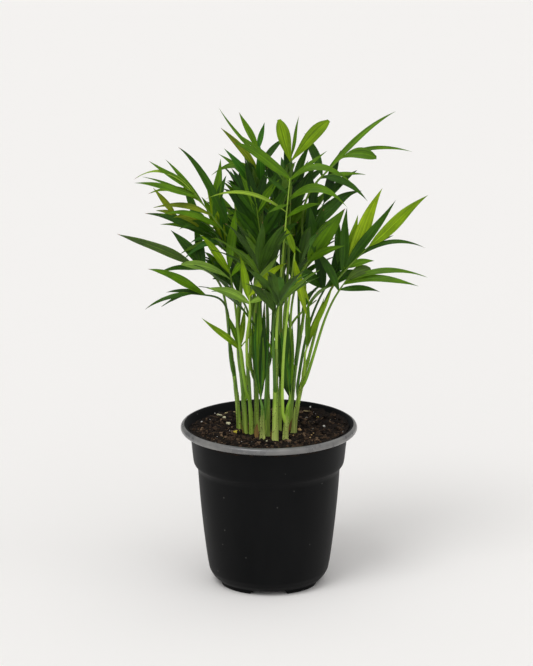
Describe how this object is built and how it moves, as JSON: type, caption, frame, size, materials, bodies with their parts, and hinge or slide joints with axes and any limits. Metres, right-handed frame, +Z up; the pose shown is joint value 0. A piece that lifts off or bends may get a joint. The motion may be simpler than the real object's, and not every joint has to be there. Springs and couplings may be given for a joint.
{
  "type": "potted parlour palm",
  "caption": "Young parlour palm with a clump of slim green stems and feathered fronds, standing in a round black plastic nursery pot filled with soil.",
  "frame": {"origin": "on the pot's axis, at the level that its feet stand on", "axes": "+Z up along the pot's axis; +X to the right and -Y towards the viewer in the picture's view"},
  "size_m": [0.2274, 0.1535, 0.3558],
  "materials": {
    "pot": "black moulded plastic, softly glossy on its rolled lip and matt on its sides",
    "soil": "dark crumbly potting mix with white and tan grains",
    "stem": "pale yellow-green canes wrapped in leaf bases",
    "leaf": "green leaf blades with a soft shine and fine lengthwise veins"
  },
  "bodies": {
    "root": {"frond_01": "leaf", "frond_02": "leaf", "frond_03": "leaf", "frond_04": "leaf", "frond_05": "leaf", "frond_06": "leaf", "frond_07": "leaf", "frond_08": "leaf", "frond_09": "leaf", "frond_10": "leaf", "frond_11": "leaf", "frond_12": "leaf", "frond_13": "leaf", "frond_14": "leaf", "frond_15": "leaf", "frond_16": "leaf", "frond_17": "leaf", "frond_18": "leaf", "frond_19": "leaf", "frond_20": "leaf", "frond_21": "leaf", "frond_22": "leaf", "frond_23": "leaf", "frond_24": "leaf", "frond_25": "leaf", "frond_26": "leaf", "frond_27": "leaf", "frond_28": "leaf", "frond_29": "leaf", "frond_30": "leaf", "frond_31": "leaf", "frond_32": "leaf", "frond_33": "leaf", "frond_34": "leaf", "frond_35": "leaf", "frond_36": "leaf", "frond_37": "leaf", "frond_38": "leaf", "frond_39": "leaf", "pot": "pot", "soil": "soil", "stem_01": "stem", "stem_02": "stem", "stem_03": "stem", "stem_04": "stem", "stem_05": "stem", "stem_06": "stem", "stem_07": "stem", "stem_08": "stem", "stem_09": "stem", "stem_10": "stem", "stem_11": "stem", "stem_12": "stem", "stem_13": "stem"}
  },
  "joints": []
}
